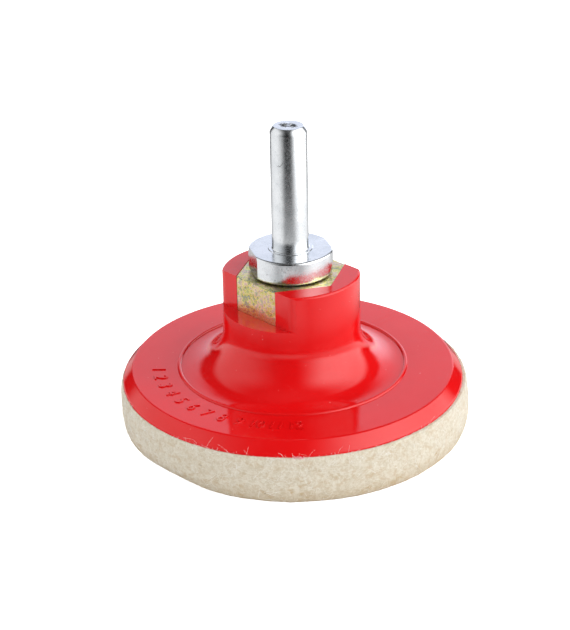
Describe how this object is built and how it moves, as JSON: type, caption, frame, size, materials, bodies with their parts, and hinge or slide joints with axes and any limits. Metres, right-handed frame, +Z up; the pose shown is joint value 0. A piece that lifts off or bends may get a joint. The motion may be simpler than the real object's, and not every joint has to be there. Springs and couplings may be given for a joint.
{
  "type": "felt polishing wheel",
  "caption": "Felt polishing disc on a flared plastic backing pad with a hexagon threaded insert and a screwed-in steel drill spindle.",
  "frame": {"origin": "spindle axis at the felt's flat working face", "axes": "+Z up the shank, away from the working face; the two exposed faces of the hexagon insert look along +Y and -Y"},
  "size_m": [0.0759, 0.0759, 0.0688],
  "materials": {
    "wool_felt": "pressed cream wool felt with brown flecks and loose fibres",
    "glue_film": "thin cured contact glue",
    "loop_fabric": "brushed loop fabric",
    "hook_sheet": "moulded nylon hooks, dull black",
    "red_plastic": "glossy moulded red plastic",
    "yellow_zinc_steel": "yellow-passivated zinc plating, iridescent and speckled",
    "bright_zinc_steel": "bright zinc plating over turned steel"
  },
  "bodies": {
    "disc": {"felt_disc": "wool_felt", "felt_adhesive": "glue_film", "loop_backing": "loop_fabric"},
    "pad": {"hook_sheet": "hook_sheet", "pad_adhesive": "glue_film", "backing_pad": "red_plastic", "hex_insert": "yellow_zinc_steel"},
    "spindle": {"spindle": "bright_zinc_steel"}
  },
  "joints": [
    {"name": "pad_peel", "type": "slide", "parent": "disc", "child": "pad", "axis": [0, 0, 1], "range_m": [0, 0.03]},
    {"name": "spindle_screw", "type": "hinge", "parent": "pad", "child": "spindle", "pos_m": [0, 0, 0.036], "axis": [0, 0, 1], "range_deg": [0, 1890]}
  ]
}
